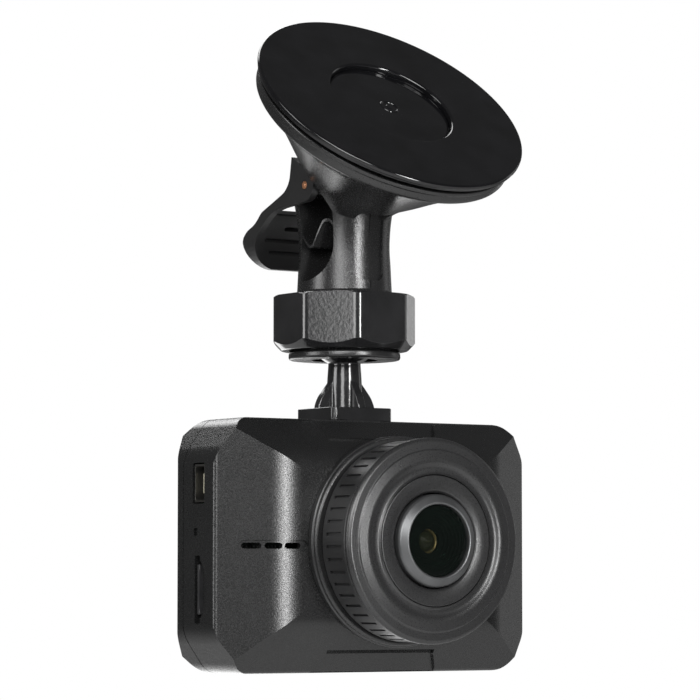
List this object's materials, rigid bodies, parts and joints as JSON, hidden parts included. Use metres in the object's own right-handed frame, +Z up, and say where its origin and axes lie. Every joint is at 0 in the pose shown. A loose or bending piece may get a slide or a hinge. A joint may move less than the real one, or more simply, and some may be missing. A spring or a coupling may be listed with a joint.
{
  "type": "dash camera",
  "caption": "Car dash camera hanging from a tilted lever-locked suction mount by a ball joint with a clamp nut, with a large ribbed lens ring.",
  "frame": {"origin": "centre of the suction face, in the plane that meets the windscreen", "axes": "+Z up, -Y the way the lens looks, +X to the right of someone looking along +Y at the lens"},
  "size_m": [0.084, 0.0669, 0.1493],
  "materials": {
    "case_plastic": "satin, fine moulded grain",
    "gloss_plastic": "polished black",
    "satin_plastic": "satin black",
    "lever_plastic": "satin charcoal",
    "suction_gel": "high gloss black",
    "bezel_metal": "satin grey",
    "lens_glass": "dark coated glass",
    "steel": "plain",
    "copper_pin": "copper coloured",
    "circuit_board": "green solder mask",
    "chip_black": "moulded package",
    "pale_plastic": "pale contact carrier",
    "battery_foil": "dull foil",
    "liner_plastic": "low friction liner",
    "key_rubber": "matt black"
  },
  "bodies": {
    "mount": {"cup_housing": "gloss_plastic", "suction_pad": "suction_gel", "return_spring": "steel"},
    "rod": {"pull_rod": "steel", "pull_plate": "satin_plastic", "pad_centre": "suction_gel"},
    "lever_arm": {"lever": "lever_plastic", "lever_pin": "copper_pin"},
    "nut": {"clamp_nut": "gloss_plastic"},
    "seat": {"ball_seat": "liner_plastic"},
    "washer": {"ball_washer": "liner_plastic"},
    "bracket": {"ball_bracket": "gloss_plastic"},
    "card": {"memory_card": "chip_black"},
    "reset": {"reset_button": "pale_plastic"},
    "power": {"power_key": "key_rubber"},
    "menu": {"menu_key": "key_rubber"},
    "up": {"up_key": "key_rubber"},
    "down": {"down_key": "key_rubber"},
    "camera": {"front_shell": "case_plastic", "rear_cover": "case_plastic", "cover_screw_1": "steel", "cover_screw_2": "steel", "cover_screw_3": "steel", "cover_screw_4": "steel", "lens_base_ring": "satin_plastic", "lens_barrel": "satin_plastic", "lens_front_ring": "satin_plastic", "lens_trim_ring": "satin_plastic", "lens_bezel": "bezel_metal", "front_glass": "lens_glass", "lens_cone": "satin_plastic", "lens_tube": "satin_plastic", "front_lens": "lens_glass", "middle_lens": "lens_glass", "rear_lens": "lens_glass", "main_board": "circuit_board", "image_sensor": "chip_black", "processor": "chip_black", "battery": "battery_foil", "microphone": "steel", "speaker": "chip_black", "speaker_mesh": "steel", "usb_socket": "steel", "usb_tongue": "pale_plastic", "card_socket": "steel", "reset_switch": "chip_black", "lcd_panel": "chip_black", "display_window": "lens_glass", "lcd_ribbon": "copper_pin", "key_mat": "key_rubber"}
  },
  "joints": [
    {"name": "lever_hinge", "type": "hinge", "parent": "mount", "child": "lever_arm", "pos_m": [0, 0.01616, -0.01814], "axis": [1, 0, 0], "range_deg": [0, 70]},
    {"name": "rod_slide", "type": "slide", "parent": "mount", "child": "rod", "axis": [0, -0.6652, 0.7466], "range_m": [0, 0.0014]},
    {"name": "nut_turn", "type": "hinge", "parent": "mount", "child": "nut", "pos_m": [0, 0.01929, -0.04915], "axis": [0, 0, 1], "range_deg": [0, 270]},
    {"name": "ball_yaw", "type": "hinge", "parent": "mount", "child": "seat", "pos_m": [0, 0.01929, -0.05045], "axis": [0, 0, 1], "range_deg": [-180, 180]},
    {"name": "ball_roll", "type": "hinge", "parent": "seat", "child": "washer", "pos_m": [0, 0.01929, -0.05045], "axis": [0, 1, 0], "range_deg": [-17, 17]},
    {"name": "ball_pitch", "type": "hinge", "parent": "washer", "child": "bracket", "pos_m": [0, 0.01929, -0.05045], "axis": [1, 0, 0], "range_deg": [-17, 17]},
    {"name": "camera_slide", "type": "slide", "parent": "bracket", "child": "camera", "axis": [0, -1, 0], "range_m": [0, 0.015]},
    {"name": "card_slide", "type": "slide", "parent": "camera", "child": "card", "axis": [-1, 0, 0], "range_m": [0, 0.013]},
    {"name": "reset_press", "type": "slide", "parent": "camera", "child": "reset", "axis": [1, 0, 0], "range_m": [0, 0.0004], "stiffness_N_per_m": 400},
    {"name": "power_press", "type": "slide", "parent": "camera", "child": "power", "axis": [0, -1, 0], "range_m": [0, 0.0004], "stiffness_N_per_m": 800},
    {"name": "menu_press", "type": "slide", "parent": "camera", "child": "menu", "axis": [0, -1, 0], "range_m": [0, 0.0004], "stiffness_N_per_m": 800},
    {"name": "up_press", "type": "slide", "parent": "camera", "child": "up", "axis": [0, -1, 0], "range_m": [0, 0.0004], "stiffness_N_per_m": 800},
    {"name": "down_press", "type": "slide", "parent": "camera", "child": "down", "axis": [0, -1, 0], "range_m": [0, 0.0004], "stiffness_N_per_m": 800}
  ],
  "couplings": [
    {"joint": "rod_slide", "follows": "lever_hinge", "m_per_rad": 0.001145}
  ]
}
